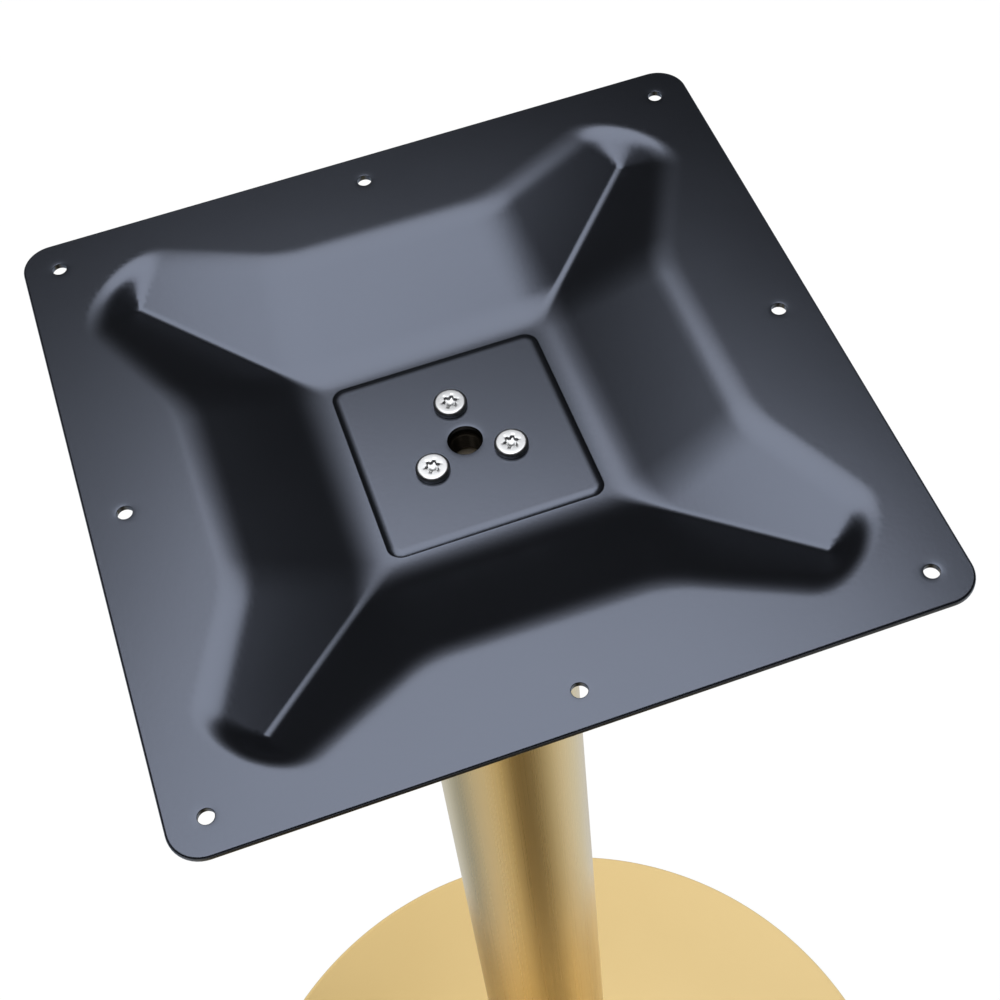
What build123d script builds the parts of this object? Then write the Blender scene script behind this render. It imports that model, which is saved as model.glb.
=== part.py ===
"""Bar table base: pressed top plate, round column and flat round foot on levelling glides.

Millimetres, +Z up, origin on the floor under the middle of the column. +Y is the far side of the
photograph, +X its right-hand side.
"""

import math
import os

from build123d import *

# Overall size
total_height = 1050.0
tiny = 1e-3

# Top plate: square sheet with eight fixing holes
plate_side = 300.0
plate_corner_radius = 13.0
plate_sheet = 3.0
plate_edge_radius = 0.6
plate_border = 48.5
fixing_hole_diameter = 6.0
fixing_hole_inset = 15.0

# Star-shaped pan pressed into the plate
pan_depth = 22.0
pan_frame_width = 8.3
pan_kink_inset = 6.8
pan_arm_slope = 0.48
pan_arm_overhang = 13.5
pan_end_run = 7.0
pan_crease_radius = 50.0
pan_end_radius = 10.0
pan_floor_radius = 8.0
pan_valley_radius = 4.0
pan_under_radius = 1.5
pan_rim_radius = 12.0

# Raised square in the middle of the pan, which forms the column's seat on the underside
seat_rise = 1.2
seat_column_margin = 2.5
seat_wall_run = 4.0
seat_foot_corner = 6.0
seat_top_corner = 3.5
centre_hole_diameter = 14.0

# Low-head screws with a six-lobed recess, the same kind at the top and at the foot
screw_diameter = 8.0
screw_head_diameter = 13.5
screw_head_height = 3.4
screw_head_radius = 1.0
screw_tip_chamfer = 0.8
screw_circle = 38.0
screw_count = 3
screw_hole_diameter = 9.0
top_screw_length = 10.0
base_screw_length = 22.0
lobe_diameter = 6.8
lobe_waist = 4.9
lobe_scallop_radius = 1.25
lobe_depth = 2.0
lobe_count = 6
thread_clearance = 0.05

# Column tube with a disc welded into each end
column_diameter = 76.0
column_wall = 1.5
column_end_chamfer = 0.3
top_flange_thickness = 16.0
bottom_flange_thickness = 10.0
flange_clearance = 0.05
flange_chamfer = 0.6
flange_centre_thread = 13.0
flange_centre_depth = 11.0
flange_centre_chamfer = 0.4

# Foot: thin cover over a heavy plate
base_diameter = 560.0
base_top = 20.0
cover_sheet = 1.2
cover_edge_radius = 4.0
cover_skirt_bottom = 5.0
weight_clearance = 4.8
weight_thickness = 10.0
weight_chamfer = 1.0
washer_diameter = 16.0
washer_hole_diameter = 8.6
washer_thickness = 1.6

# Levelling glides: threaded stud with a hexagon, turning in a nylon pad
glide_count = 4
glide_inset = 44.0
glide_first_angle = 45.0
stud_diameter = 8.0
stud_top_gap = 0.5
stud_tip_chamfer = 0.8
stud_hex_width = 13.0
stud_hex_gap = 0.4
stud_foot_diameter = 10.0
pad_diameter = 32.0
pad_height = 4.5
pad_socket_depth = 2.5
pad_socket_clearance = 0.05
pad_top_chamfer = 1.0
pad_bottom_chamfer = 0.8

# Levels that follow from the sizes above
pan_floor_level = total_height - pan_depth
seat_level = pan_floor_level + seat_rise
column_top = seat_level - plate_sheet
weight_top = base_top - cover_sheet
weight_bottom = weight_top - weight_thickness
washer_bottom = weight_bottom - washer_thickness
stud_hex_bottom = pad_height + stud_hex_gap

# Widths that follow from the sizes above: the pan's floor from the column, its mouth from the plate
fixing_hole_pitch = plate_side / 2 - fixing_hole_inset
seat_top_side = column_diameter + 2 * seat_column_margin
seat_foot_side = seat_top_side + 2 * seat_wall_run
pan_floor_half = seat_foot_side / 2 + pan_frame_width
pan_kink_half = pan_floor_half - pan_kink_inset
pan_mouth_half = plate_side / 2 - plate_border
pan_arm_reach = pan_mouth_half + pan_arm_overhang
pan_valley_reach = pan_arm_reach - pan_end_run
weight_radius = base_diameter / 2 - cover_sheet - weight_clearance
glide_radius = weight_radius - glide_inset

# Walls of the pan. The plate's top face is height 0 here. Each wall is a plane through one point.
floor_corner = Vector(pan_floor_half, pan_floor_half, -pan_depth)
kink = Vector(pan_kink_half, pan_mouth_half, 0)
middle_normal = Vector(0, -pan_depth, pan_mouth_half - pan_floor_half).normalized()
arm_normal = Vector(1, pan_arm_slope, 0).cross(kink - floor_corner).normalized()
valley_run = Vector(pan_valley_reach, pan_valley_reach, 0) - kink
valley_height = -valley_run.dot(arm_normal) / arm_normal.Z
valley_end = Vector(pan_valley_reach, pan_valley_reach, valley_height)
arm_end = Vector(pan_arm_reach, pan_arm_reach, 0)
end_normal = Vector(1, -1, 0).cross(arm_end - valley_end).normalized()

# Blocks from which the pan is cut. They only have to be larger than the plate.
block_side = 2 * plate_side
block_depth = 60.0
pan_headroom = 2.0


def lies_on(edge, plane):
    """True where both ends and the middle of an edge lie on a plane."""
    return all(abs(plane.to_local_coords(edge @ along).Z) < tiny for along in (0, 0.5, 1))


def edges_at(edges, height):
    """The edges that lie wholly at one height."""
    return [edge for edge in edges if lies_on(edge, Plane.XY.offset(height))]


def on_diagonal(point):
    """True for a point straight above one of the square's diagonals."""
    return abs(abs(point.X) - abs(point.Y)) < tiny


def pan_side(depth_below):
    """Metal beside the pan at +Y: under a middle wall and two arm walls, with soft creases between."""
    left_normal = Vector(-arm_normal.X, arm_normal.Y, arm_normal.Z)
    left_kink = Vector(-kink.X, kink.Y, kink.Z)
    middle_wall = Plane(origin=kink - middle_normal * depth_below, z_dir=middle_normal)
    right_wall = Plane(origin=kink - arm_normal * depth_below, z_dir=arm_normal)
    left_wall = Plane(origin=left_kink - left_normal * depth_below, z_dir=left_normal)
    with BuildPart() as side:
        Box(block_side, block_side, 2 * block_depth)
        for wall in (middle_wall, right_wall, left_wall):
            split(bisect_by=wall, keep=Keep.BOTTOM)
        creases = [
            edge
            for edge in side.edges()
            if lies_on(edge, middle_wall) and (lies_on(edge, right_wall) or lies_on(edge, left_wall))
        ]
        fillet(creases, pan_crease_radius - depth_below)
    return side.part


def pan_end(depth_below):
    """Metal beyond the end wall of the arm between +X and +Y."""
    end_wall = Plane(origin=arm_end - end_normal * depth_below, z_dir=end_normal)
    with BuildPart() as end:
        Box(block_side, block_side, 2 * block_depth)
        split(bisect_by=end_wall, keep=Keep.BOTTOM)
    return end.part


def pan_space(depth_below, end_radius, floor_radius, valley_radius):
    """The pan as a solid: the room above a surface that lies depth_below under the top surface."""
    floor_height = -pan_depth - depth_below
    with BuildPart() as space:
        with Locations((0, 0, floor_height)):
            Box(
                block_side,
                block_side,
                pan_headroom - floor_height,
                align=(Align.CENTER, Align.CENTER, Align.MIN),
            )
        with PolarLocations(0, 4):
            add(pan_side(depth_below), mode=Mode.SUBTRACT)
        with PolarLocations(0, 4):
            add(pan_end(depth_below), mode=Mode.SUBTRACT)
        end_faces = [
            face for face in space.faces() if abs(abs(face.normal_at().Z) - end_normal.Z) < tiny
        ]
        end_edges = [
            edge
            for face in end_faces
            for edge in face.edges()
            if abs((edge @ 0).Z - (edge @ 1).Z) > tiny
        ]
        fillet(end_edges, end_radius)
        fillet(edges_at(space.edges(), floor_height), floor_radius)
        valleys = [
            edge
            for edge in space.edges()
            if on_diagonal(edge @ 0)
            and on_diagonal(edge @ 0.5)
            and (edge @ 0.5).Z < 0
            and (edge @ 0 - edge @ 1).length > pan_floor_radius / 4
        ]
        fillet(valleys, valley_radius)
    return space.part


# Top plate: what lies between the top surface and the underside, both pressed, then the seat and the holes
with BuildPart() as pressed_top:
    with BuildSketch():
        RectangleRounded(plate_side, plate_side, plate_corner_radius)
    extrude(amount=-block_depth)
    fillet(edges_at(pressed_top.edges(), 0), plate_edge_radius)
    add(
        pan_space(0, pan_end_radius, pan_floor_radius, pan_valley_radius),
        mode=Mode.SUBTRACT,
    )
    mouth_edges = [
        edge
        for edge in edges_at(pressed_top.edges(), 0)
        if max(abs((edge @ 0.5).X), abs((edge @ 0.5).Y)) < fixing_hole_pitch
    ]
    fillet(mouth_edges, pan_rim_radius)

with BuildPart() as pressed_under:
    with BuildSketch(Plane.XY.offset(-plate_sheet)):
        Rectangle(block_side, block_side)
    extrude(amount=-2 * block_depth)
    under_radius = pan_under_radius + plate_sheet
    add(
        pan_space(plate_sheet, under_radius, under_radius, under_radius),
        mode=Mode.SUBTRACT,
    )
    mouth_edges = [
        edge
        for edge in edges_at(pressed_under.edges(), -plate_sheet)
        if max(abs((edge @ 0.5).X), abs((edge @ 0.5).Y)) < fixing_hole_pitch
    ]
    fillet(mouth_edges, pan_rim_radius - plate_sheet)

with BuildPart() as seat_form:
    with BuildSketch():
        RectangleRounded(seat_foot_side, seat_foot_side, seat_foot_corner)
    with BuildSketch(Plane.XY.offset(seat_rise)):
        RectangleRounded(seat_top_side, seat_top_side, seat_top_corner)
    loft(ruled=True)

with BuildPart() as top_plate:
    with Locations((0, 0, total_height)):
        add(pressed_top.part)
        add(pressed_under.part, mode=Mode.SUBTRACT)
    with Locations((0, 0, pan_floor_level)):
        add(seat_form.part)
    with Locations((0, 0, pan_floor_level - plate_sheet)):
        add(seat_form.part, mode=Mode.SUBTRACT)
    with BuildSketch(Plane.XY.offset(total_height)):
        with GridLocations(fixing_hole_pitch, fixing_hole_pitch, 3, 3):
            Circle(fixing_hole_diameter / 2)
        Circle(fixing_hole_diameter, mode=Mode.SUBTRACT)
        Circle(centre_hole_diameter / 2)
        with PolarLocations(screw_circle / 2, screw_count, start_angle=90):
            Circle(screw_hole_diameter / 2)
    extrude(amount=-2 * pan_depth, mode=Mode.SUBTRACT)
top_plate.part.label = "top_plate"


def low_head_screw(length):
    """One screw with the underside of its head at height 0 and its shank pointing down."""
    shank_radius = screw_diameter / 2 - thread_clearance
    with BuildPart() as screw:
        Cylinder(
            screw_head_diameter / 2,
            screw_head_height,
            align=(Align.CENTER, Align.CENTER, Align.MIN),
        )
        fillet(edges_at(screw.edges(), screw_head_height), screw_head_radius)
        Cylinder(shank_radius, length, align=(Align.CENTER, Align.CENTER, Align.MAX))
        chamfer(edges_at(screw.edges(), -length), screw_tip_chamfer)
        with BuildSketch(Plane.XY.offset(screw_head_height)):
            Circle(lobe_diameter / 2)
            with PolarLocations(lobe_waist / 2 + lobe_scallop_radius, lobe_count):
                Circle(lobe_scallop_radius, mode=Mode.SUBTRACT)
        extrude(amount=-lobe_depth, mode=Mode.SUBTRACT)
    return screw.part


# Top screws: three, through the seat into the column's upper flange
with BuildPart() as top_screws:
    with Locations((0, 0, seat_level)):
        with PolarLocations(screw_circle / 2, screw_count, start_angle=90):
            add(low_head_screw(top_screw_length))
top_screws.part.label = "top_screws"

# Column tube: from the foot's cover up into the seat
column_radius = column_diameter / 2
with BuildPart() as column_tube:
    with BuildSketch(Plane.XY.offset(base_top)):
        Circle(column_radius)
        Circle(column_radius - column_wall, mode=Mode.SUBTRACT)
    extrude(amount=column_top - base_top)
    ends = edges_at(column_tube.edges(), base_top) + edges_at(column_tube.edges(), column_top)
    chamfer(ends, column_end_chamfer)
column_tube.part.label = "column_tube"

flange_radius = column_radius - column_wall - flange_clearance

# Column top flange: takes the three top screws and has a blind thread in its middle
with BuildPart() as column_top_flange:
    with BuildSketch(Plane.XY.offset(column_top)):
        Circle(flange_radius)
    extrude(amount=-top_flange_thickness)
    chamfer(edges_at(column_top_flange.edges(), column_top - top_flange_thickness), flange_chamfer)
    with BuildSketch(Plane.XY.offset(column_top)):
        with PolarLocations(screw_circle / 2, screw_count, start_angle=90):
            Circle(screw_diameter / 2)
    extrude(amount=-top_flange_thickness, mode=Mode.SUBTRACT)
    with BuildSketch(Plane.XY.offset(column_top)):
        Circle(flange_centre_thread / 2)
    extrude(amount=-flange_centre_depth, mode=Mode.SUBTRACT)
    middle_edge = [
        edge
        for edge in edges_at(column_top_flange.edges(), column_top)
        if abs(edge.radius - flange_centre_thread / 2) < tiny
    ]
    chamfer(middle_edge, flange_centre_chamfer)
column_top_flange.part.label = "column_top_flange"

# Column bottom flange: takes the three base screws
with BuildPart() as column_bottom_flange:
    with BuildSketch(Plane.XY.offset(base_top)):
        Circle(flange_radius)
    extrude(amount=bottom_flange_thickness)
    chamfer(edges_at(column_bottom_flange.edges(), base_top + bottom_flange_thickness), flange_chamfer)
    with BuildSketch(Plane.XY.offset(base_top)):
        with PolarLocations(screw_circle / 2, screw_count, start_angle=90):
            Circle(screw_diameter / 2)
    extrude(amount=bottom_flange_thickness, mode=Mode.SUBTRACT)
column_bottom_flange.part.label = "column_bottom_flange"

# Base cover: flat round sheet with its edge turned down
cover_radius = base_diameter / 2
with BuildPart() as cover_inside:
    with BuildSketch(Plane.XY.offset(cover_skirt_bottom)):
        Circle(cover_radius - cover_sheet)
    extrude(amount=weight_top - cover_skirt_bottom)
    fillet(edges_at(cover_inside.edges(), weight_top), cover_edge_radius - cover_sheet)

with BuildPart() as base_cover:
    with BuildSketch(Plane.XY.offset(cover_skirt_bottom)):
        Circle(cover_radius)
    extrude(amount=base_top - cover_skirt_bottom)
    fillet(edges_at(base_cover.edges(), base_top), cover_edge_radius)
    add(cover_inside.part, mode=Mode.SUBTRACT)
    with BuildSketch(Plane.XY.offset(base_top)):
        with PolarLocations(screw_circle / 2, screw_count, start_angle=90):
            Circle(screw_hole_diameter / 2)
    extrude(amount=-2 * cover_sheet, mode=Mode.SUBTRACT)
base_cover.part.label = "base_cover"

# Base weight: heavy round plate under the cover, with holes for the base screws and threads for the glides
with BuildPart() as base_weight:
    with BuildSketch(Plane.XY.offset(weight_bottom)):
        Circle(weight_radius)
    extrude(amount=weight_thickness)
    chamfer(base_weight.edges(), weight_chamfer)
    with BuildSketch(Plane.XY.offset(weight_bottom)):
        with PolarLocations(screw_circle / 2, screw_count, start_angle=90):
            Circle(screw_hole_diameter / 2)
        with PolarLocations(glide_radius, glide_count, start_angle=glide_first_angle):
            Circle(stud_diameter / 2)
    extrude(amount=weight_thickness, mode=Mode.SUBTRACT)
base_weight.part.label = "base_weight"

# Base washers: one under the head of each base screw
with BuildPart() as base_washers:
    with BuildSketch(Plane.XY.offset(washer_bottom)):
        with PolarLocations(screw_circle / 2, screw_count, start_angle=90):
            Circle(washer_diameter / 2)
            Circle(washer_hole_diameter / 2, mode=Mode.SUBTRACT)
    extrude(amount=washer_thickness)
base_washers.part.label = "base_washers"

# Base screws: three, from below through weight and cover into the column's lower flange
with BuildPart() as base_screws:
    with Locations(Location((0, 0, washer_bottom), (180, 0, 0))):
        with PolarLocations(screw_circle / 2, screw_count, start_angle=-90):
            add(low_head_screw(base_screw_length))
base_screws.part.label = "base_screws"


# Levelling glides, made once above the origin and then set in their places
thread_radius = stud_diameter / 2 - thread_clearance
thread_top = weight_top - stud_top_gap
foot_bottom = pad_height - pad_socket_depth

# Glide stud: foot disc in the pad's socket, hexagon against the weight, thread up into the weight
with BuildPart() as stud_form:
    with BuildSketch(Plane.XY.offset(foot_bottom)):
        Circle(stud_foot_diameter / 2)
    extrude(amount=stud_hex_bottom - foot_bottom)
    with BuildSketch(Plane.XY.offset(stud_hex_bottom)):
        RegularPolygon(stud_hex_width / 2, 6, major_radius=False)
    extrude(amount=weight_bottom - stud_hex_bottom)
    with BuildSketch(Plane.XY.offset(weight_bottom)):
        Circle(thread_radius)
    extrude(amount=thread_top - weight_bottom)
    chamfer(edges_at(stud_form.edges(), thread_top), stud_tip_chamfer)

# Glide pad: round nylon disc with a socket for the stud's foot
with BuildPart() as pad_form:
    with BuildSketch():
        Circle(pad_diameter / 2)
    extrude(amount=pad_height)
    chamfer(edges_at(pad_form.edges(), pad_height), pad_top_chamfer)
    chamfer(edges_at(pad_form.edges(), 0), pad_bottom_chamfer)
    with BuildSketch(Plane.XY.offset(pad_height)):
        Circle(stud_foot_diameter / 2 + pad_socket_clearance)
    extrude(amount=-pad_socket_depth, mode=Mode.SUBTRACT)

# One STEP file for each piece
os.makedirs("parts", exist_ok=True)
pieces = [
    top_plate.part,
    top_screws.part,
    column_tube.part,
    column_top_flange.part,
    column_bottom_flange.part,
    base_cover.part,
    base_weight.part,
    base_washers.part,
    base_screws.part,
]
for number in range(1, glide_count + 1):
    glide_angle = math.radians(glide_first_angle + (number - 1) * 360.0 / glide_count)
    glide_x = glide_radius * math.cos(glide_angle)
    glide_y = glide_radius * math.sin(glide_angle)
    with BuildPart() as glide_stud:
        with Locations((glide_x, glide_y)):
            add(stud_form.part)
    glide_stud.part.label = f"glide_stud_{number}"
    pieces.append(glide_stud.part)
    with BuildPart() as glide_pad:
        with Locations((glide_x, glide_y)):
            add(pad_form.part)
    glide_pad.part.label = f"glide_pad_{number}"
    pieces.append(glide_pad.part)
for piece in pieces:
    export_step(piece, f"parts/{piece.label}.step")
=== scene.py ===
"""Bar table base: a pressed black top plate on a brushed gold column and a flat round gold foot.

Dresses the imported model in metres, in its own frame: +Z up, the origin on the floor under the column.
"""

import math

import bpy
import numpy as np
from mathutils import Matrix, Vector
from mathutils.geometry import delaunay_2d_cdt


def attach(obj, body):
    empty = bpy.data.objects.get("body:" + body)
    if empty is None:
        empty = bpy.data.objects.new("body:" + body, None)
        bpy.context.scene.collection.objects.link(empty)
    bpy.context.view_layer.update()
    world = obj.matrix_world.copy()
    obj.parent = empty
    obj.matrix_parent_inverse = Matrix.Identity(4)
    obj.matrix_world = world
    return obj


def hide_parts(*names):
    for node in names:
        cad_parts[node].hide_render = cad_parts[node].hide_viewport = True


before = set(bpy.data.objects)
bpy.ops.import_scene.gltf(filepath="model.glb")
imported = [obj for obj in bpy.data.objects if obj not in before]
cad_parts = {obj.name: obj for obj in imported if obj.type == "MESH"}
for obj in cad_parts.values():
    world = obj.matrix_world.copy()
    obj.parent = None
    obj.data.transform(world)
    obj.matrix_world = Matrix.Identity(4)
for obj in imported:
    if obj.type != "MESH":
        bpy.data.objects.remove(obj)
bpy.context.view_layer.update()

# Base weight: a round plate flame-cut from 10 mm steel, drilled and tapped, then dipped in grey primer.
# It lies hidden under the cover and keeps the table from tipping. The primer is dull and mottled.


class Signal:
    """A socket inside a material. Sums on it add Math nodes, and node() adds any other kind of node."""

    def __init__(self, tree, socket):
        self.tree = tree
        self.socket = socket

    def node(self, kind, settings, values, output=0):
        made = self.tree.nodes.new(kind)
        for name, setting in settings.items():
            if name == "stops":
                self.set_stops(made.color_ramp, setting)
            else:
                setattr(made, name, setting)
        for name, value in values.items():
            if isinstance(value, Signal):
                self.tree.links.new(value.socket, made.inputs[name])
            else:
                made.inputs[name].default_value = value
        return Signal(self.tree, made.outputs[output])

    def set_stops(self, ramp, stops):
        """Gives a colour ramp its stops, each a position and a colour."""
        ramp.elements.remove(ramp.elements[1])
        ramp.elements[0].position, ramp.elements[0].color = stops[0]
        for position, colour in stops[1:]:
            ramp.elements.new(position).color = colour

    def vector(self, operation, *others, output=0):
        """A sum on this signal as a vector, together with any others."""
        values = dict(enumerate((self,) + others))
        return self.node("ShaderNodeVectorMath", {"operation": operation}, values, output)

    def sum(self, operation, first, second):
        return self.node("ShaderNodeMath", {"operation": operation}, {0: first, 1: second})

    def __add__(self, other):
        return self.sum("ADD", self, other)

    def __radd__(self, other):
        return self.sum("ADD", other, self)

    def __sub__(self, other):
        return self.sum("SUBTRACT", self, other)

    def __mul__(self, other):
        return self.sum("MULTIPLY", self, other)

    def __rmul__(self, other):
        return self.sum("MULTIPLY", other, self)


class Finish:
    """A material under construction: its shader, and the place of each point on the piece."""

    def __init__(self, name):
        self.material = bpy.data.materials.new(name)
        self.material.use_nodes = True
        self.tree = self.material.node_tree
        self.shader = self.tree.nodes["Principled BSDF"]
        self.place = self.input("ShaderNodeTexCoord", "Object")

    def input(self, kind, output):
        return Signal(self.tree, self.tree.nodes.new(kind).outputs[output])

    def set(self, **constants):
        for name, value in constants.items():
            self.shader.inputs[name.replace("_", " ")].default_value = value

    def link(self, **signals):
        for name, signal in signals.items():
            self.tree.links.new(signal.socket, self.shader.inputs[name.replace("_", " ")])

    def along(self, axis):
        """The place along one axis, which is 0, 1 or 2."""
        return self.place.node("ShaderNodeSeparateXYZ", {}, {0: self.place}, axis)

    def noise(self, size, detail, stretch=(1.0, 1.0, 1.0)):
        """Cloudy noise with patches of about the given size, drawn out where stretch is above 1."""
        spot = self.place.vector("MULTIPLY", [1 / (size * longer) for longer in stretch])
        return spot.node("ShaderNodeTexNoise", {}, {"Vector": spot, "Scale": 1.0, "Detail": detail})

    def steps(self, signal, low, high):
        """Runs smoothly from 0 where the signal is at low to 1 where it is at high."""
        values = {"Value": signal, "From Min": low, "From Max": high}
        return signal.node("ShaderNodeMapRange", {"interpolation_type": "SMOOTHSTEP"}, values)

    def blend(self, factor, first, second):
        return factor.node("ShaderNodeMix", {"data_type": "RGBA"}, {0: factor, 6: first, 7: second}, 2)

    def relief(self, height, depth, strength):
        values = {"Strength": strength, "Distance": depth, "Height": height}
        self.link(Normal=height.node("ShaderNodeBump", {}, values))


def dress(node, finish):
    """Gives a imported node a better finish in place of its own."""
    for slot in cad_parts[node].material_slots:
        slot.material = finish.material


primer_dark = (0.055, 0.057, 0.060, 1.0)
primer_pale = (0.100, 0.102, 0.104, 1.0)
primer = Finish("primer")
primer_cloud = primer.noise(size=0.03, detail=4.0)
primer_grit = primer.noise(size=0.0009, detail=2.0)
primer.link(Base_Color=primer.blend(primer_cloud, primer_dark, primer_pale))
primer.link(Roughness=0.6 + 0.2 * primer_cloud)
primer.relief(primer_grit + 0.5 * primer_cloud, depth=0.0002, strength=0.4)
dress("base_weight", primer)

# Base cover: a disc of thin stainless sheet with its edge turned down over the weight. It is brushed round
# and round on a turntable and gold plated, and its colour is painted paler on the right front and deeper on
# the left as a painted reflection.
cover_radius = 0.280
cover_top = 0.020
cover_sheet = 0.0012
cover_bend = 0.004
cover_skirt_bottom = 0.005
cover_lip = 0.0003
cover_middle = 0.032
cover_steps = 288
screw_circle = 0.038
screw_hole_radius = 0.0045
screw_count = 3
first_screw_degrees = 90
screw_spots = []
for number in range(screw_count):
    angle = math.radians(first_screw_degrees + 360 / screw_count * number)
    screw_spots.append(Vector((math.cos(angle), math.sin(angle), 0)) * screw_circle / 2)
ring_points = 72
ease_steps = 6
sharp_degrees = 35.0
weld_distance = 1e-7


def eased(corners):
    """Rounds the corners of a profile. Each corner is its radius, its height and its rounding."""
    points = []
    for index, (radius, height, ease) in enumerate(corners):
        here = Vector((radius, height))
        if ease == 0:
            points.append(here)
            continue
        before = (Vector(corners[index - 1][:2]) - here).normalized()
        after = (Vector(corners[(index + 1) % len(corners)][:2]) - here).normalized()
        reach = ease / math.tan(before.angle(after) / 2)
        start = here + before * reach
        end = here + after * reach
        for step in range(ease_steps + 1):
            share = step / ease_steps
            points.append(start.lerp(here, share).lerp(here.lerp(end, share), share))
    return points


def even_angles(count):
    return [2 * math.pi * step / count for step in range(count)]


def on_ring(radius, angle, height):
    return Vector((radius * math.cos(angle), radius * math.sin(angle), height))


def turned(profile, count=ring_points):
    """Rings of points about the axis, one for each point of a profile."""
    return [[on_ring(radius, angle, height) for angle in even_angles(count)] for radius, height in profile]


def join_rings(rings, closed=False):
    """Points and faces of a skin over rings of points. A ring of one point closes an end."""
    points = [point for ring in rings for point in ring]
    starts = [sum(len(ring) for ring in rings[:index]) for index in range(len(rings))]
    pairs = [(index, index + 1) for index in range(len(rings) - 1)]
    if closed:
        pairs.append((len(rings) - 1, 0))
    faces = []
    for low, high in pairs:
        below = starts[low]
        above = starts[high]
        count = max(len(rings[low]), len(rings[high]))
        for step in range(count):
            ahead = (step + 1) % count
            if len(rings[low]) == 1:
                faces.append((below, above + ahead, above + step))
            elif len(rings[high]) == 1:
                faces.append((below + step, below + ahead, above))
            else:
                faces.append((below + step, below + ahead, above + ahead, above + step))
    return points, faces


def place_mesh(name, points, faces, finish):
    """One object from points and faces, with one finish."""
    mesh = bpy.data.meshes.new(name)
    mesh.from_pydata(points, [], faces)
    mesh.materials.append(finish.material)
    piece = bpy.data.objects.new(name, mesh)
    bpy.context.scene.collection.objects.link(piece)
    return piece


def make_piece(name, skin, finish, places=(Vector((0, 0, 0)),)):
    """One object from a skin of points and faces, repeated at each place, with smooth shading."""
    points = []
    faces = []
    for place in places:
        start = len(points)
        points += [point + place for point in skin[0]]
        faces += [[start + corner for corner in face] for face in skin[1]]
    piece = place_mesh(name, points, faces, finish)
    piece.data.shade_smooth()
    piece.data.set_sharp_from_angle(angle=math.radians(sharp_degrees))
    weighting = piece.modifiers.new("even shading", "WEIGHTED_NORMAL")
    weighting.keep_sharp = True
    return piece


def circle(x, y, radius, count):
    return [(x + radius * math.cos(angle), y + radius * math.sin(angle)) for angle in even_angles(count)]


def flat_pattern(loops, loose, holes):
    """Triangles inside the first loop that use every point, leaving out the holes.

    The loops keep their edges, and their corners are returned as well.
    """
    points = []
    edges = []
    numbers = []
    for loop in loops:
        numbers.append(list(range(len(points), len(points) + len(loop))))
        edges += list(zip(numbers[-1], numbers[-1][1:] + numbers[-1][:1]))
        points += loop
    made = delaunay_2d_cdt([Vector(point) for point in points + loose], edges, [], 1, weld_distance)
    corner_of = {source: corner for corner, sources in enumerate(made[3]) for source in sources}
    faces = []
    for face in made[2]:
        middle = sum((made[0][corner] for corner in face), Vector((0, 0))) / len(face)
        if all((middle - Vector((x, y))).length > radius for x, y, radius in holes):
            faces.append(tuple(face))
    return made[0], faces, [[corner_of[number] for number in loop] for loop in numbers]


gold_pale = (0.84, 0.655, 0.345, 1.0)
gold_deep = (0.76, 0.540, 0.215, 1.0)
painted_sheen_side = (0.94, -0.34, 0.0)
brush_spacing = 0.0004
gold_disc = Finish("gold_disc")
across = gold_disc.place.vector("MULTIPLY", (1.0, 1.0, 0.0))
from_middle = across.vector("LENGTH", output=1)
# Painted reflection: the colour is paler towards the right front of the disc and deeper towards the left.
painted_sheen_fan = across.vector("NORMALIZE").vector("DOT_PRODUCT", painted_sheen_side, output=1)
brushing = from_middle.node(
    "ShaderNodeTexNoise",
    {"noise_dimensions": "1D"},
    {"W": from_middle * (1 / brush_spacing), "Scale": 1.0, "Detail": 3.0},
)
disc_cloud = gold_disc.noise(size=0.12, detail=2.0)
disc_tone_and_sheen = 0.40 * brushing + 0.20 * disc_cloud + 0.20 * painted_sheen_fan + 0.20
gold_disc.link(Base_Color=gold_disc.blend(disc_tone_and_sheen, gold_deep, gold_pale))
gold_disc.link(Roughness=0.24 + 0.10 * brushing + 0.04 * disc_cloud)
gold_disc.set(Metallic=1.0, Anisotropic=0.55, Anisotropic_Rotation=0.25)
gold_disc.relief(brushing, depth=0.00002, strength=0.35)

cover_inside = cover_radius - cover_sheet
cover_under = cover_top - cover_sheet
cover_profile = eased(
    [
        (cover_middle, cover_under, 0.0),
        (cover_inside, cover_under, cover_bend - cover_sheet),
        (cover_inside, cover_skirt_bottom, cover_lip),
        (cover_radius, cover_skirt_bottom, cover_lip),
        (cover_radius, cover_top, cover_bend),
        (cover_middle, cover_top, 0.0),
    ]
)
cover_points, cover_faces = join_rings(turned(cover_profile, cover_steps))
under_ring = list(range(cover_steps))
upper_ring = list(range(len(cover_points) - cover_steps, len(cover_points)))
screw_holes = [(spot.x, spot.y, screw_hole_radius) for spot in screw_spots]
cover_loops = [circle(0, 0, cover_middle, cover_steps)]
cover_loops += [circle(x, y, radius, ring_points) for x, y, radius in screw_holes]
middle_places, middle_faces, middle_loops = flat_pattern(cover_loops, [], screw_holes)
cover_corners = {}
for side, ring, height in (("under", under_ring, cover_under), ("upper", upper_ring, cover_top)):
    cover_corners[side] = dict(zip(middle_loops[0], ring))
    for corner, place in enumerate(middle_places):
        if corner not in cover_corners[side]:
            cover_corners[side][corner] = len(cover_points)
            cover_points.append(Vector((place.x, place.y, height)))
cover_faces += [tuple(cover_corners["upper"][corner] for corner in face) for face in middle_faces]
cover_faces += [tuple(cover_corners["under"][corner] for corner in face[::-1]) for face in middle_faces]
for loop in middle_loops[1:]:
    for here, ahead in zip(loop, loop[1:] + loop[:1]):
        upper_edge = (cover_corners["upper"][here], cover_corners["upper"][ahead])
        under_edge = (cover_corners["under"][ahead], cover_corners["under"][here])
        cover_faces.append(upper_edge + under_edge)
cover = make_piece("base_cover_detail", (cover_points, cover_faces), gold_disc)
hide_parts("base_cover")
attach(cover, "stand")

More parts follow.
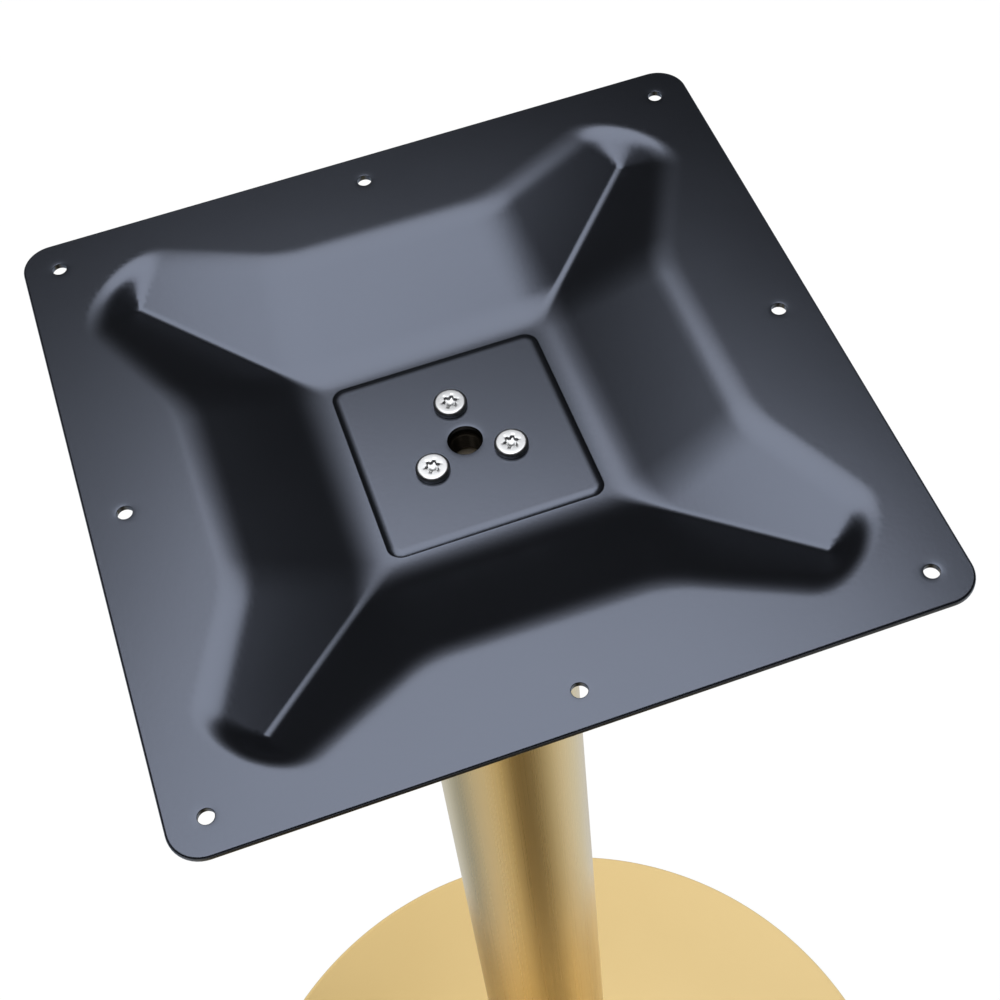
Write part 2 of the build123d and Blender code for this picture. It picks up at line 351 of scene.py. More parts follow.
# Base washers: three plain zinc-plated washers, punched from sheet, so that one edge is rounded and
# the other is nearly sharp. Each lies under the head of a base screw.
zinc_dull = (0.44, 0.450, 0.465, 1.0)
zinc_bright = (0.54, 0.545, 0.555, 1.0)
zinc = Finish("zinc")
zinc_cloud = zinc.noise(size=0.004, detail=3.0)
zinc_grain = zinc.noise(size=0.00025, detail=2.0)
zinc.link(Base_Color=zinc.blend(zinc_cloud, zinc_dull, zinc_bright))
zinc.link(Roughness=0.20 + 0.12 * zinc_cloud + 0.08 * zinc_grain)
zinc.relief(zinc_grain, depth=0.00003, strength=0.3)
zinc.set(Metallic=1.0)

weight_bottom = 0.0088
washer_sheet = 0.0016
washer_radius = 0.008
washer_hole = 0.0043
washer_rounded_edge = 0.0004
washer_bore_edge = 0.00025
washer_sharp_edge = 0.00015
washer_bottom = weight_bottom - washer_sheet
washer_profile = eased(
    [
        (washer_hole, washer_bottom, washer_bore_edge),
        (washer_radius, washer_bottom, washer_rounded_edge),
        (washer_radius, weight_bottom, washer_sharp_edge),
        (washer_hole, weight_bottom, washer_sharp_edge),
    ]
)
washer_skin = join_rings(turned(washer_profile), closed=True)
washers = make_piece("base_washers_detail", washer_skin, zinc, screw_spots)
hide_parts("base_washers")
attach(washers, "stand")

# Base screws: three cold-headed low screws with rolled threads and a six-lobed recess, zinc plated.
# They pass from below through washer, weight and cover into the column's lower flange.
head_radius = 0.0069
head_height = 0.0028
head_flat_radius = 0.0044
head_ease = 0.0014
head_ease_steps = 6
head_chamfer = 0.0002
head_chamfer_rise = 0.00025
neck_ease = 0.0002
neck_length = 0.0003
recess_depth = 0.0016
recess_dish = 0.0005
dish_radius = 0.0013
dish_rim_radius = 0.0016
dish_rim_drop = 0.00005
lobe_count = 6
lobe_middle = 0.00255
lobe_swing = 0.00042
recess_foot = ((-0.00030, 0.0), (-0.00012, 0.00012))
recess_mouth = ((0.0, 0.00035), (0.00008, 0.00012), (0.00030, 0.0))
thread_crest = 0.00395
thread_depth = 0.00065
thread_pitch = 0.00125
thread_levels = 8
thread_flank = 1.25
thread_flat = 0.125
thread_start = 0.0005
tip_chamfer = 0.0008


def round_ring(radius, height):
    return turned([(radius, height)])[0]


def lobed_ring(widening, height):
    """A ring round the recess, with its lobes."""
    ring = []
    for angle in even_angles(ring_points):
        radius = lobe_middle + lobe_swing * math.cos(lobe_count * angle) + widening
        ring.append(on_ring(radius, angle, height))
    return ring


def thread_rings(bottom, top, crest):
    """Rings with a helical groove between two heights, from low to high. It runs out at both ends."""
    rings = []
    count = round((top - bottom) / (thread_pitch / thread_levels))
    for level in range(count + 1):
        height = bottom + (top - bottom) * level / count
        run_out = min(1.0, (height - bottom) / thread_pitch, (top - height) / thread_pitch)
        ring = []
        for step, angle in enumerate(even_angles(ring_points)):
            turn = (height / thread_pitch - step / ring_points) % 1.0
            groove = min(1.0, max(0.0, thread_flank * abs(2 * turn - 1) - thread_flat))
            ring.append(on_ring(crest - thread_depth * groove * run_out, angle, height))
        rings.append(ring)
    return rings


def screw_skin(length):
    """A screw that stands head up, with the underside of its head at height 0."""
    recess_floor = head_height - recess_depth
    rings = [[Vector((0, 0, recess_floor - recess_dish))]]
    rings.append(round_ring(dish_radius, recess_floor - dish_rim_drop))
    rings.append(round_ring(dish_rim_radius, recess_floor))
    rings += [lobed_ring(widening, recess_floor + rise) for widening, rise in recess_foot]
    rings += [lobed_ring(widening, head_height - drop) for widening, drop in recess_mouth]
    rings.append(round_ring(head_flat_radius, head_height))
    for step in range(head_ease_steps + 1):
        lean = math.radians(90 * step / head_ease_steps)
        radius = head_radius - head_ease * (1 - math.sin(lean))
        rings.append(round_ring(radius, head_height - head_ease * (1 - math.cos(lean))))
    rings.append(round_ring(head_radius, head_chamfer_rise))
    rings.append(round_ring(head_radius - head_chamfer, 0.0))
    rings.append(round_ring(thread_crest + neck_ease, 0.0))
    rings.append(round_ring(thread_crest, -neck_length))
    rings += reversed(thread_rings(-length + tip_chamfer, -thread_start, thread_crest))
    rings.append(round_ring(thread_crest - tip_chamfer, -length))
    rings.append([Vector((0, 0, -length))])
    points, faces = join_rings(rings)
    return points, [face[::-1] for face in faces]


base_screw_length = 0.022
upright_points, screw_faces = screw_skin(base_screw_length)
hanging_points = [Vector((point.x, -point.y, -point.z)) for point in upright_points]
base_screw_spots = [spot + Vector((0, 0, washer_bottom)) for spot in screw_spots]
base_screws = make_piece("base_screws_detail", (hanging_points, screw_faces), zinc, base_screw_spots)
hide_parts("base_screws")
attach(base_screws, "stand")

# Levelling glides: a zinc-plated stud with a hexagon for the spanner is screwed into the weight, and its
# foot turns in a moulded black nylon pad. The pad has a groove round its top and a hollow underneath.
glide_radius = 0.230
glide_count = 4
first_glide_degrees = 45
glide_spots = []
for number in range(glide_count):
    angle = math.radians(first_glide_degrees + 360 / glide_count * number)
    glide_spots.append(Vector((math.cos(angle), math.sin(angle), 0)) * glide_radius)
stud_foot_radius = 0.005
stud_foot_bottom = 0.0020
stud_foot_ease = 0.0004
stud_thread_start = 0.0002
stud_top = 0.0183
hex_bottom = 0.0049
hex_flat = 0.0065
hex_corner = hex_flat / math.cos(math.radians(30))
hex_turning = ((hex_flat - 0.0001, 0.0), (hex_flat + 0.0004, 0.0003), (hex_corner, 0.0007))


def hexagon_ring(limit, height):
    """A ring on a hexagon whose corners are turned down to a limit."""
    ring = []
    for angle in even_angles(ring_points):
        off_flat = math.radians(math.degrees(angle) % 60 - 30)
        ring.append(on_ring(min(hex_flat / math.cos(off_flat), limit), angle, height))
    return ring


stud_rings = [[Vector((0, 0, stud_foot_bottom))]]
stud_rings.append(round_ring(stud_foot_radius - stud_foot_ease, stud_foot_bottom))
stud_rings.append(round_ring(stud_foot_radius, stud_foot_bottom + stud_foot_ease))
stud_rings.append(round_ring(stud_foot_radius, hex_bottom))
stud_rings += [hexagon_ring(limit, hex_bottom + inset) for limit, inset in hex_turning]
stud_rings += [hexagon_ring(limit, weight_bottom - inset) for limit, inset in reversed(hex_turning)]
stud_rings.append(round_ring(thread_crest, weight_bottom))
stud_rings += thread_rings(weight_bottom + stud_thread_start, stud_top - tip_chamfer, thread_crest)
stud_rings.append(round_ring(thread_crest - tip_chamfer, stud_top))
stud_rings.append([Vector((0, 0, stud_top))])
stud_skin = join_rings(stud_rings)

nylon_deep = (0.016, 0.016, 0.017, 1.0)
nylon_pale = (0.030, 0.030, 0.031, 1.0)
nylon = Finish("nylon")
nylon_cloud = nylon.noise(size=0.006, detail=3.0)
nylon_grain = nylon.noise(size=0.0004, detail=2.0)
nylon.link(Base_Color=nylon.blend(nylon_cloud, nylon_deep, nylon_pale))
nylon.link(Roughness=0.42 + 0.16 * nylon_cloud)
nylon.relief(nylon_grain, depth=0.00008, strength=0.5)
pad_radius = 0.016
pad_height = 0.0045
pad_foot_ease = 0.0008
pad_top_ease = 0.0011
pad_socket = 0.00505
pad_socket_floor = 0.0020
pad_socket_ease = 0.0003
hollow_radius = 0.0060
hollow_rim_radius = 0.0068
hollow_depth = 0.0006
groove_outside = 0.0124
groove_inside = 0.0109
groove_slope = 0.0003
groove_depth = 0.0004
groove_ease = 0.0002
pad_profile = eased(
    [
        (hollow_radius, hollow_depth, pad_socket_ease),
        (hollow_rim_radius, 0.0, groove_ease),
        (pad_radius, 0.0, pad_foot_ease),
        (pad_radius, pad_height, pad_top_ease),
        (groove_outside, pad_height, groove_ease),
        (groove_outside - groove_slope, pad_height - groove_depth, groove_ease),
        (groove_inside + groove_slope, pad_height - groove_depth, groove_ease),
        (groove_inside, pad_height, groove_ease),
        (pad_socket, pad_height, pad_socket_ease),
        (pad_socket, pad_socket_floor, pad_socket_ease),
    ]
)
pad_rings = [[Vector((0, 0, hollow_depth))]] + turned(pad_profile) + [[Vector((0, 0, pad_socket_floor))]]
pad_skin = join_rings(pad_rings)
for number, spot in enumerate(glide_spots, 1):
    stud = make_piece(f"glide_stud_{number}_detail", stud_skin, zinc, [spot])
    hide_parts(f"glide_stud_{number}")
    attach(stud, f"stud_{number}")
    pad = make_piece(f"glide_pad_{number}_detail", pad_skin, nylon, [spot])
    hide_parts(f"glide_pad_{number}")
    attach(pad, f"pad_{number}")

# Column flanges: two discs of steel, yellow passivated, welded into the ends of the tube. The top of the
# upper one is painted near black as shade under the plate, and the blind thread in its middle shows through
# the hole in the top plate.
column_top = 1.0262
shade_fade_bottom = column_top - 0.004
shade_fade_top = column_top - 0.002
painted_shade_dark = (0.006, 0.005, 0.004, 1.0)
passivated_dull = (0.26, 0.225, 0.175, 1.0)
passivated_bright = (0.38, 0.335, 0.270, 1.0)
passivated = Finish("passivated_steel")
passivated_cloud = passivated.noise(size=0.003, detail=3.0)
passivated_grain = passivated.noise(size=0.0003, detail=2.0)
passivated_tone = passivated.blend(passivated_cloud, passivated_dull, passivated_bright)
# Painted shade: the flange fades to near black over its top 4 mm, where it lies under the plate.
painted_shade_under_plate = passivated.steps(passivated.along(2), shade_fade_bottom, shade_fade_top)
passivated.link(Base_Color=passivated.blend(painted_shade_under_plate, passivated_tone, painted_shade_dark))
passivated.link(Roughness=0.34 + 0.2 * passivated_cloud)
passivated.relief(passivated_grain, depth=0.00005, strength=0.5)
passivated.set(Metallic=1.0)
dress("column_top_flange", passivated)
dress("column_bottom_flange", passivated)

blind_depth = 0.011
blind_radius = 0.0065
lining_gap = 0.00001
lining_bottom = column_top - blind_depth + 0.0002
lining_top = column_top - 0.0005
backing_radius = blind_radius - lining_gap
lining = thread_rings(lining_bottom, lining_top, blind_radius - 2 * lining_gap)
lining += [round_ring(backing_radius, lining_top), round_ring(backing_radius, lining_bottom)]
lining_points, lining_faces = join_rings(lining, closed=True)
lining_faces = [face[::-1] for face in lining_faces]
# Painted shade: the thread lining is coloured near black, standing in for the shade deep inside the blind
# hole.
thread_shade_deep = (0.020, 0.017, 0.014, 1.0)
thread_shade_pale = (0.050, 0.042, 0.032, 1.0)
cut_thread = Finish("cut_thread")
thread_cloud = cut_thread.noise(size=0.002, detail=2.0)
cut_thread.link(Base_Color=cut_thread.blend(thread_cloud, thread_shade_deep, thread_shade_pale))
cut_thread.link(Roughness=0.40 + 0.2 * thread_cloud)
cut_thread.set(Metallic=1.0)
flange_thread = make_piece("flange_thread", (lining_points, lining_faces), cut_thread)
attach(flange_thread, "stand")

# Column tube: a 76 mm stainless tube, belt-brushed along its length and gold plated. The fine scratches
# run up and down, and draw each light and dark into a soft upright band.
tube_radius = 0.038
tube_bore = 0.0365
tube_bottom = 0.020
tube_edge = 0.0003
tube_steps = 240
long_drawn = (1.0, 1.0, 1500.0)
short_drawn = (1.0, 1.0, 400.0)
brushed_gold = Finish("brushed_gold")
long_scratches = brushed_gold.noise(size=0.0004, detail=3.0, stretch=long_drawn)
fine_scratches = brushed_gold.noise(size=0.00015, detail=2.0, stretch=short_drawn)
tube_cloud = brushed_gold.noise(size=0.05, detail=2.0)
scratch_tone = 0.5 * long_scratches + 0.3 * fine_scratches + 0.2 * tube_cloud
brushed_gold.link(Base_Color=brushed_gold.blend(scratch_tone, gold_deep, gold_pale))
brushed_gold.link(Roughness=0.22 + 0.14 * long_scratches)
brushed_gold.set(Metallic=1.0, Anisotropic=0.6)
brushed_gold.relief(long_scratches + 0.6 * fine_scratches, depth=0.00002, strength=0.3)
tube_profile = eased(
    [
        (tube_bore, tube_bottom, tube_edge),
        (tube_radius, tube_bottom, tube_edge),
        (tube_radius, column_top, tube_edge),
        (tube_bore, column_top, tube_edge),
    ]
)
tube_skin = join_rings(turned(tube_profile, tube_steps), closed=True)
tube = make_piece("column_tube_detail", tube_skin, brushed_gold)
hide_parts("column_tube")
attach(tube, "stand")

# Top plate: a square of 3 mm steel sheet, pressed in one stroke into a star-shaped pan with a raised
# square for the column, then punched and powder coated in satin black. Its creases are soft.
plate_top = 1.050
plate_half = 0.150
plate_corner = 0.013
plate_sheet = 0.003
plate_edge = 0.0010
pan_depth = 0.022
pan_floor_half = 0.0528
pan_kink_half = 0.046
pan_mouth_half = 0.1015
pan_arm_slope = 0.48
pan_arm_reach = 0.1168
pan_valley_reach = 0.1080
rim_softness = 0.0031
floor_softness = 0.0036
crease_softness = 0.0022
valley_softness = 0.0019
end_roundness = 2.6
seat_half = 0.0445
seat_corner = 0.006
seat_rise = 0.0012
seat_run = 0.004
seat_roundness = 2.7
hole_roll = 0.00012
hole_roll_run = 0.0008
hole_edge = 0.0003
fixing_radius = 0.0030
fixing_pitch = 0.135
centre_radius = 0.007
arm_rise = pan_depth / (pan_mouth_half - pan_floor_half + pan_arm_slope * (pan_floor_half - pan_kink_half))
middle_rise = pan_depth / (pan_mouth_half - pan_floor_half)
valley_height = arm_rise * (
    pan_valley_reach - pan_mouth_half - pan_arm_slope * (pan_valley_reach - pan_kink_half)
)
end_rise = -valley_height / (pan_arm_reach - pan_valley_reach)
holes = [(0.0, 0.0, centre_radius)] + screw_holes
for column in (-1, 0, 1):
    for row in (-1, 0, 1):
        if (column, row) != (0, 0):
            holes.append((column * fixing_pitch, row * fixing_pitch, fixing_radius))


def soft_highest(first, second, softness):
    """The higher of two surfaces, with the crease between them rounded off."""
    overlap = np.maximum(1 - np.abs(first - second) / softness, 0)
    return np.maximum(first, second) + overlap**2 * softness / 4


def soft_lowest(first, second, softness):
    return -soft_highest(-first, -second, softness)


def side_wall(along, away):
    """One side of the pan: a middle wall, and an arm wall that falls away from it beyond the kink."""
    middle = middle_rise * (away - pan_mouth_half)
    arm = arm_rise * (away - pan_mouth_half - pan_arm_slope * (along - pan_kink_half))
    return soft_lowest(middle, arm, crease_softness)


def inside_square(x, y, half, corner):
    """How far points lie inside a square with rounded corners."""
    over_x = np.abs(x) - half + corner
    over_y = np.abs(y) - half + corner
    outside = np.hypot(np.maximum(over_x, 0), np.maximum(over_y, 0))
    return corner - outside - np.minimum(np.maximum(over_x, over_y), 0)


def pressed_height(x, y):
    """Height of the pressed top surface, measured from the plate's flat rim."""
    x_away = np.abs(x)
    y_away = np.abs(y)
    walls = soft_highest(side_wall(x_away, y_away), side_wall(y_away, x_away), valley_softness)
    past_valley = np.maximum((x_away + y_away) / 2 - pan_valley_reach, 0)
    over_valley = np.maximum(walls - valley_height, 0)
    rounded = over_valley**end_roundness + (end_rise * past_valley) ** end_roundness
    ends = valley_height + rounded ** (1 / end_roundness)
    walls = np.where(past_valley > 0, ends, walls)
    pan = soft_highest(walls, np.full_like(walls, -pan_depth), floor_softness)
    surface = soft_lowest(pan, np.zeros_like(pan), rim_softness)
    climb = np.clip(inside_square(x, y, seat_half, seat_corner) / seat_run, 0, 1)
    surface = surface + seat_rise * (1 - (1 - climb) ** seat_roundness)
    for hole_x, hole_y, radius in holes:
        from_edge = np.maximum(np.hypot(x - hole_x, y - hole_y) - radius, 0)
        surface = surface - hole_roll * np.exp(-from_edge / hole_roll_run)
    return surface


def rounded_square(half, corner, spacing, arc_steps):
    """Points round a square with rounded corners."""
    loop = []
    straight = half - corner
    straight_steps = max(1, round(2 * straight / spacing))
    for quarter in range(4):
        turn = math.pi / 2 * quarter
        side = [(half, -straight + 2 * straight * step / straight_steps) for step in range(straight_steps)]
        for step in range(arc_steps):
            lean = math.pi / 2 * step / arc_steps
            side.append((straight + corner * math.cos(lean), straight + corner * math.sin(lean)))
        for x, y in side:
            loop.append((x * math.cos(turn) - y * math.sin(turn), x * math.sin(turn) + y * math.cos(turn)))
    return loop


# The plate's points: loops on its edges, rows along creases and round holes, and a grid between them
plate_grid = 0.002
edge_room = 0.6 * plate_grid
row_room = 0.4 * plate_grid
valley_room = 0.3 * plate_grid
plate_corner_steps = 12
seat_corner_steps = 10
seat_insets = (-0.0006, -0.0002, 0.0002, 0.0006, 0.0012, 0.0020, 0.0030, 0.0040, 0.0048)
hole_steps = 40
hole_spreads = (0.0004, 0.0010, 0.0019)
hole_cut_share = 0.9
valley_start = 0.068
valley_finish = 0.172
valley_spacing = 0.0014
valley_rows = [0.0007 * step for step in range(-4, 5)]
plate_loops = [
    rounded_square(plate_half - plate_edge, plate_corner - plate_edge, plate_grid, plate_corner_steps)
]
plate_edges = [plate_edge] + [hole_edge] * len(holes)
loose = []
for hole_x, hole_y, radius in holes:
    plate_loops.append(circle(hole_x, hole_y, radius + hole_edge, hole_steps)[::-1])
    for spread in hole_spreads:
        loose += circle(hole_x, hole_y, radius + hole_edge + spread, hole_steps)
plate_loops.append(rounded_square(seat_half, seat_corner, plate_grid, seat_corner_steps))
for inset in seat_insets:
    loose += rounded_square(seat_half - inset, seat_corner - inset, plate_grid, seat_corner_steps)
for quarter in range(4):
    turn = math.pi / 4 + math.pi / 2 * quarter
    for off in valley_rows:
        for along in np.arange(valley_start, valley_finish, valley_spacing).tolist():
            x = along * math.cos(turn) - off * math.sin(turn)
            y = along * math.sin(turn) + off * math.cos(turn)
            loose.append((x, y))
grid_count = round(2 * plate_half / plate_grid)
grid_line = (np.arange(1, grid_count) - grid_count / 2) * plate_grid
grid_x, grid_y = (part.ravel() for part in np.meshgrid(grid_line, grid_line))
keep = inside_square(grid_x, grid_y, plate_half, plate_corner) > plate_edge + edge_room
in_seat = inside_square(grid_x, grid_y, seat_half, seat_corner)
keep &= (in_seat < seat_insets[0] - row_room) | (in_seat > seat_insets[-1] + row_room)
off_diagonal = np.abs(np.abs(grid_x) - np.abs(grid_y)) / math.sqrt(2)
along_diagonal = (np.abs(grid_x) + np.abs(grid_y)) / math.sqrt(2)
in_valley = off_diagonal < valley_rows[-1] + valley_room
in_valley &= (along_diagonal > valley_start) & (along_diagonal < valley_finish)
keep &= ~in_valley
for hole_x, hole_y, radius in holes:
    from_hole = np.hypot(grid_x - hole_x, grid_y - hole_y)
    keep &= from_hole > radius + hole_edge + hole_spreads[-1] + row_room
loose += list(zip(grid_x[keep].tolist(), grid_y[keep].tolist()))
cut_holes = [(x, y, radius + hole_cut_share * hole_edge) for x, y, radius in holes]
sheet_places, sheet_faces, sheet_loops = flat_pattern(plate_loops, loose, cut_holes)

# The plate's two skins lie one sheet apart along the surface's normal, and rounded edges join them
nudge = 0.00002
edge_leans = [math.radians(degrees) for degrees in (22.5, 45, 67.5, 90)]
sheet_x = np.array([place.x for place in sheet_places])
sheet_y = np.array([place.y for place in sheet_places])
slope_x = (pressed_height(sheet_x + nudge, sheet_y) - pressed_height(sheet_x - nudge, sheet_y)) / (2 * nudge)
slope_y = (pressed_height(sheet_x, sheet_y + nudge) - pressed_height(sheet_x, sheet_y - nudge)) / (2 * nudge)
facing = np.stack([-slope_x, -slope_y, np.ones_like(slope_x)], axis=1)
facing /= np.linalg.norm(facing, axis=1)[:, None]
upper_skin = np.stack([sheet_x, sheet_y, plate_top + pressed_height(sheet_x, sheet_y)], axis=1)
lower_skin = upper_skin - facing * plate_sheet
plate_points = [Vector(point) for point in upper_skin] + [Vector(point) for point in lower_skin]
plate_normals = [Vector(normal) for normal in facing] + [Vector(-normal) for normal in facing]
skin_size = len(upper_skin)
plate_faces = list(sheet_faces)
plate_faces += [tuple(corner + skin_size for corner in face[::-1]) for face in sheet_faces]
edge_rows = [(upper_skin, 1, lean) for lean in edge_leans]
edge_rows += [(lower_skin, -1, lean) for lean in reversed(edge_leans)]
for loop, edge in zip(sheet_loops, plate_edges):
    outward = []
    for step in range(len(loop)):
        ahead = (step + 1) % len(loop)
        before = Vector((sheet_x[loop[step - 1]], sheet_y[loop[step - 1]]))
        after = Vector((sheet_x[loop[ahead]], sheet_y[loop[ahead]]))
        along = (after - before).normalized()
        outward.append(Vector((along.y, -along.x, 0)))
    rows = [loop]
    for skin, side, lean in edge_rows:
        rows.append(list(range(len(plate_points), len(plate_points) + len(loop))))
        for corner, away in zip(loop, outward):
            up = Vector(facing[corner]) * side
            over = away * edge * math.sin(lean)
            plate_points.append(Vector(skin[corner]) + over - up * edge * (1 - math.cos(lean)))
            plate_normals.append((away * math.sin(lean) + up * math.cos(lean)).normalized())
    rows.append([corner + skin_size for corner in loop])
    for row, next_row in zip(rows, rows[1:]):
        for step in range(len(loop)):
            ahead = (step + 1) % len(loop)
            plate_faces.append((row[ahead], row[step], next_row[step], next_row[ahead]))

coat_deep = (0.0035, 0.0038, 0.0045, 1.0)
coat_pale = (0.0050, 0.0055, 0.0065, 1.0)
coat_shine = (0.69, 0.775, 1.0, 1.0)
powder = Finish("powder_black")
powder_cloud = powder.noise(size=0.05, detail=3.0)
powder_skin = powder.noise(size=0.0016, detail=2.0)
powder_grain = powder.noise(size=0.0004, detail=2.0)
powder.link(Base_Color=powder.blend(powder_cloud, coat_deep, coat_pale))
powder.link(Roughness=0.21 + 0.04 * powder_cloud + 0.04 * powder_grain)
powder.relief(powder_skin + 0.5 * powder_grain, depth=0.00004, strength=0.35)
powder.set(IOR=1.9, Specular_Tint=coat_shine)
plate = place_mesh("top_plate_detail", plate_points, plate_faces, powder)
plate.data.shade_smooth()
plate.data.normals_split_custom_set_from_vertices(plate_normals)
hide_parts("top_plate")
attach(plate, "stand")

# Top screws: three more of the low screws, shorter, through the raised square into the upper flange.
# Their heads stand bright on the black coat.
seat_level = plate_top - pan_depth + seat_rise
top_screw_length = 0.010
top_screw_spots = [spot + Vector((0, 0, seat_level)) for spot in screw_spots]
top_screws = make_piece("top_screws_detail", screw_skin(top_screw_length), zinc, top_screw_spots)
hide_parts("top_screws")
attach(top_screws, "stand")

# Floor: a wide sheet of pale studio paper. It shows white in the picture and in the metal, keeps a faint
# shadow of the foot, and is clear from below, so that the underside can be seen too.
floor_half = 7.0
paper_pale = (0.92, 0.92, 0.92, 1.0)
paper_glow_share = 0.93
paper_glow_strength = 1.05
white = (1, 1, 1, 1)


def seen_by(tree):
    """Is 1 for rays that show a thing, straight, mirrored or through glass, and 0 for rays that light it."""
    light_path = tree.nodes.new("ShaderNodeLightPath")
    kinds = ("Camera", "Glossy", "Transmission")
    straight, mirrored, through = (Signal(tree, light_path.outputs[f"Is {kind} Ray"]) for kind in kinds)
    return straight + mirrored + through


def glow(finish, colour, strength):
    """A shader that gives off light of its own."""
    return finish.place.node("ShaderNodeEmission", {}, {"Color": colour, "Strength": strength})


def show(finish, shader):
    """Shows a shader in place of the finish's usual one."""
    finish.tree.links.new(shader.socket, finish.tree.nodes["Material Output"].inputs["Surface"])


paper = Finish("studio_paper")
paper.set(Base_Color=paper_pale, Roughness=0.9, Specular_IOR_Level=0.1)
paper_lit = Signal(paper.tree, paper.shader.outputs[0])
paper_glow = glow(paper, white, paper_glow_strength)
paper_share = paper_glow_share * seen_by(paper.tree)
paper_look = paper_share.node("ShaderNodeMixShader", {}, {0: paper_share, 1: paper_lit, 2: paper_glow})
from_below = paper.input("ShaderNodeNewGeometry", "Backfacing")
clear = from_below.node("ShaderNodeBsdfTransparent", {}, {})
show(paper, from_below.node("ShaderNodeMixShader", {}, {0: from_below, 1: paper_look, 2: clear}))
floor_signs = [(-1, -1), (1, -1), (1, 1), (-1, 1)]
floor_points = [(x * floor_half, y * floor_half, 0) for x, y in floor_signs]
floor = place_mesh("floor", floor_points, [(0, 1, 2, 3)], paper)

# World: even light from a white room, which shows whiter than it shines
room_light = 0.45
world = bpy.data.worlds.new("studio")
bpy.context.scene.world = world
world.use_nodes = True
room_strength = room_light + (1 - room_light) * seen_by(world.node_tree)
background = world.node_tree.nodes["Background"]
background.inputs["Color"].default_value = white
world.node_tree.links.new(room_strength.socket, background.inputs["Strength"])

# Soft box: an oblong lamp above the plate
lamp_spot = (-0.044, 0.067, plate_top + 0.75)
lamp_degrees = -31
lamp_radiance = 2.1
lamp = bpy.data.lights.new("soft_box", "AREA")
lamp.shape = "RECTANGLE"
lamp.size = 0.67
lamp.size_y = 0.98
lamp.energy = lamp_radiance * math.pi * lamp.size * lamp.size_y
soft_box = bpy.data.objects.new("soft_box", lamp)
soft_box.location = lamp_spot
soft_box.rotation_euler = (0, 0, math.radians(lamp_degrees))
bpy.context.scene.collection.objects.link(soft_box)

# Graded screen: a paper ring round the plate, dark below and white above. Only reflections show it.
screen_points = 64
tent_radius = 0.60
tent_bottom = plate_top - 0.02
tent_top = plate_top + 1.00
tent_shift = Vector((-0.14, 0.08, 0.0))
tent_tilt = (0.36, 0.7, 1.0)
fade_start = plate_top + 0.79
fade_end = plate_top + 1.29
dark_level = 0.02
added_level = 0.88


def hide_from_view(piece):
    """Leaves a stage piece to reflections alone."""
    piece.visible_camera = False
    piece.visible_diffuse = False
    piece.visible_transmission = False
    piece.visible_shadow = False


screen = Finish("graded_screen")
height_up = screen.place.vector("DOT_PRODUCT", tent_tilt, output=1)
screen_level = dark_level + added_level * screen.steps(height_up, fade_start, fade_end)
show(screen, glow(screen, white, screen_level))
tent_rings = turned([(tent_radius, tent_bottom), (tent_radius, tent_top)], screen_points)
tent_points, tent_faces = join_rings(tent_rings)
tent = place_mesh("graded_screen", [point + tent_shift for point in tent_points], tent_faces, screen)
hide_from_view(tent)

# Graded sheet: lies round the foot in the light and dark tones of the studio, which the column mirrors as
# upright bands. Bearings are in degrees from the camera's side. Only reflections show it.
sheet_inside = 0.29
sheet_outside = 4.0
sheet_height = 0.004
front_turn = math.radians(101.6)
tones = (
    (-180, (0.60, 0.62, 0.62, 1)),
    (-134, (0.72, 0.80, 0.88, 1)),
    (-94, (0.26, 0.32, 0.40, 1)),
    (-66, (0.56, 0.58, 0.60, 1)),
    (-43, (0.66, 0.65, 0.62, 1)),
    (-20, (0.60, 0.54, 0.38, 1)),
    (-4, (0.17, 0.13, 0.072, 1)),
    (14, (0.10, 0.08, 0.045, 1)),
    (33, (0.21, 0.18, 0.125, 1)),
    (54, (0.47, 0.46, 0.39, 1)),
    (75, (0.70, 0.71, 0.70, 1)),
    (100, (0.70, 0.76, 0.80, 1)),
    (135, (0.68, 0.76, 0.88, 1)),
    (180, (0.66, 0.67, 0.68, 1)),
)
shade = Finish("graded_sheet")
place_x = shade.along(0)
place_y = shade.along(1)
ahead_x = math.cos(front_turn) * place_x - math.sin(front_turn) * place_y
ahead_y = math.sin(front_turn) * place_x + math.cos(front_turn) * place_y
bearing = ahead_y.sum("ARCTAN2", ahead_y, ahead_x)
around = 0.5 + bearing * (1 / (2 * math.pi))
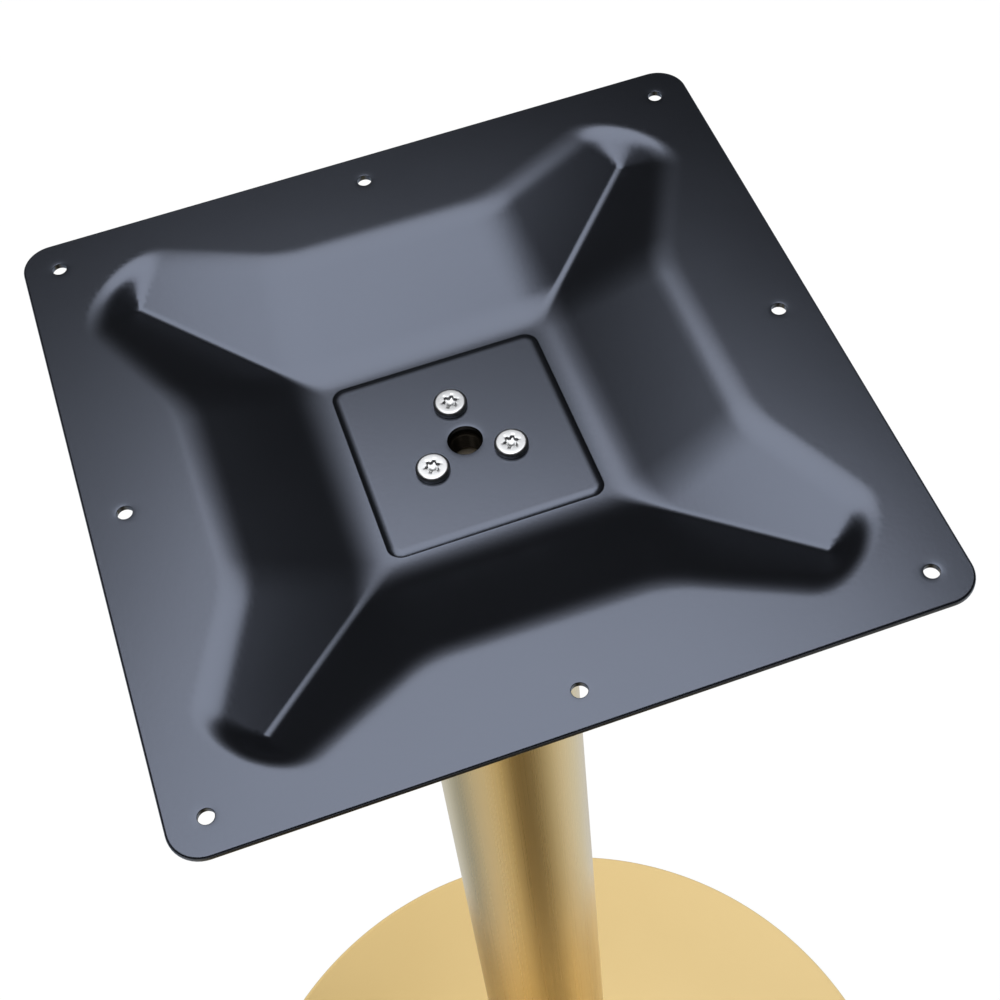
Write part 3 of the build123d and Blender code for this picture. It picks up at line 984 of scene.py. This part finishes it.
stops = [(0.5 + degrees / 360, tone) for degrees, tone in tones]
show(shade, glow(shade, around.node("ShaderNodeValToRGB", {"stops": stops}, {0: around}), 1.0))
sheet_rings = turned([(sheet_inside, sheet_height), (sheet_outside, sheet_height)], screen_points)
sheet_points, ring_faces = join_rings(sheet_rings)
sheet = place_mesh("graded_sheet", sheet_points, ring_faces, shade)
hide_from_view(sheet)

# Dark cards: hang flat above the near side and both flanks, so that the foot's reflection in the column
# stays brown there. Each spans two bearings and two distances. Only reflections show them.
card_height = 2.0
card_spans = ((-140, -75, 1.3, 2.4), (-14, 44, 0.70, 1.75), (88, 125, 1.3, 2.4))
card_points = []
card_faces = []
for first, last, near, far in card_spans:
    card_faces.append(tuple(range(len(card_points), len(card_points) + 4)))
    for degrees, reach in ((first, near), (first, far), (last, far), (last, near)):
        card_points.append(on_ring(reach, math.radians(degrees) - front_turn, card_height))
felt = Finish("dark_felt")
felt.set(Base_Color=(0.03, 0.028, 0.025, 1.0), Roughness=0.9)
card = place_mesh("dark_cards", card_points, card_faces, felt)
hide_from_view(card)

# Camera: where the photograph was taken, found from the plate's edges and holes and from the foot
photo_width = 1000
focal_pixels = 1854.373
centre_column = 514.4
centre_row = 470.3
eye = Vector((-0.090647, -0.443494, plate_top + 0.567724))
right = Vector((0.9432623, -0.32535872, -0.06631701))
down = Vector((-0.29999199, -0.74941314, -0.59024126))
forward = Vector((0.1423413, 0.5766469, -0.80449817))
camera_data = bpy.data.cameras.new("camera")
camera_data.sensor_width = 36.0
camera_data.lens = focal_pixels / photo_width * camera_data.sensor_width
camera_data.shift_x = (photo_width / 2 - centre_column) / photo_width
camera_data.shift_y = (centre_row - photo_width / 2) / photo_width
camera_data.clip_start = 0.05
camera_data.clip_end = 50.0
camera = bpy.data.objects.new("camera", camera_data)
camera.matrix_world = Matrix.Translation(eye) @ Matrix((right, -down, -forward)).transposed().to_4x4()
bpy.context.scene.collection.objects.link(camera)
bpy.context.scene.camera = camera
bpy.context.scene.view_settings.view_transform = "Standard"
